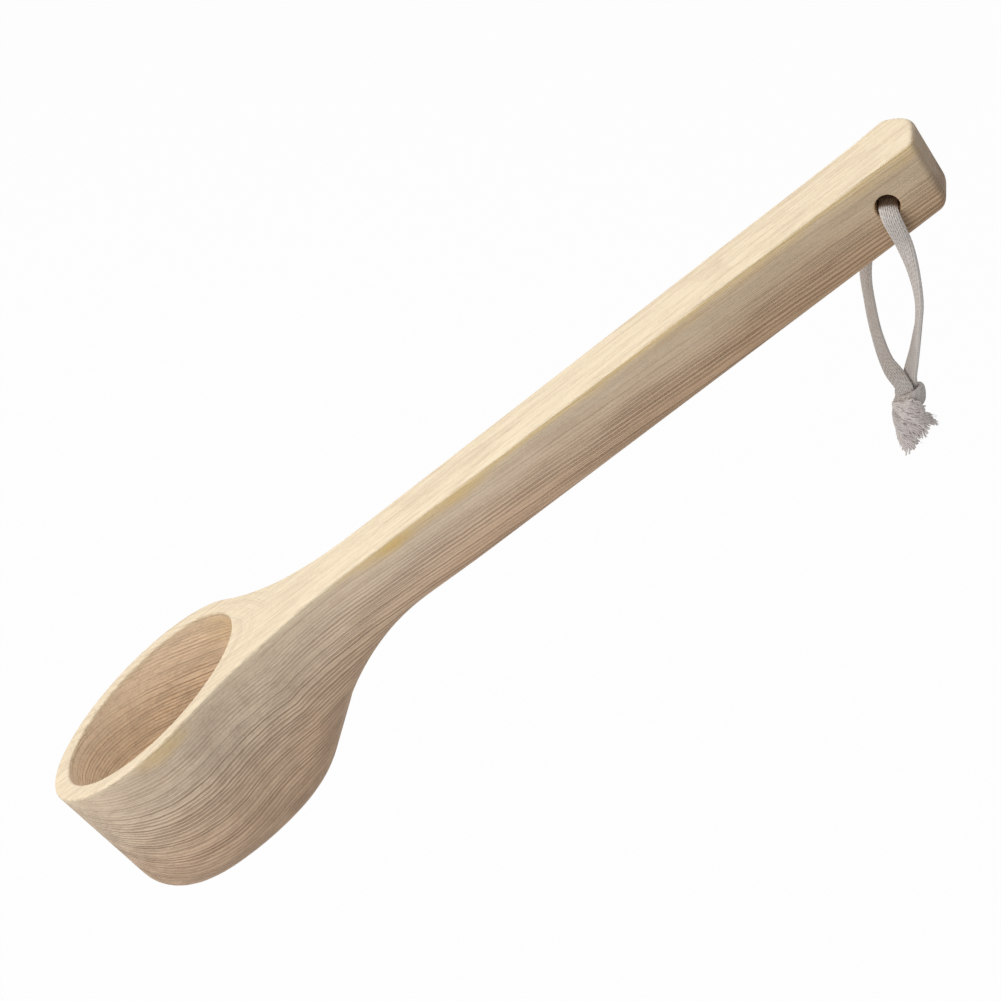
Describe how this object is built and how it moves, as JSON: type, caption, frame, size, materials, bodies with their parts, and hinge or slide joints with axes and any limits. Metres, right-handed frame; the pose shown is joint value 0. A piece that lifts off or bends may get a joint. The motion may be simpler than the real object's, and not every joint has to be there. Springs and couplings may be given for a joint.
{
  "type": "sauna ladle",
  "caption": "Carved one-piece wooden ladle with a deep round bowl and a straight handle, hung by a knotted flat cotton lace through a cross hole in the handle's end.",
  "frame": {"origin": "middle of the handle where the hand grips it, 129 mm from the tip of the handle's end along the level ladle", "axes": "+Z is plumb up with the ladle held sloping as in use, +X is level and points from the bowl towards the handle's end, +Y runs across the handle along the lace's hole"},
  "size_m": [0.34, 0.0964, 0.2733],
  "materials": {
    "wood": "planed and sanded, unvarnished",
    "cotton": "braided cotton, matt"
  },
  "bodies": {
    "ladle": {"ladle_body": "wood"},
    "loop": {"hanging_cord": "cotton", "cord_knot": "cotton", "cord_tassel": "cotton"}
  },
  "joints": [
    {"name": "loop_swing", "type": "hinge", "parent": "ladle", "child": "loop", "pos_m": [0.08897, 0, 0.06398], "axis": [0, -1, 0], "range_deg": [-18, 262]}
  ]
}
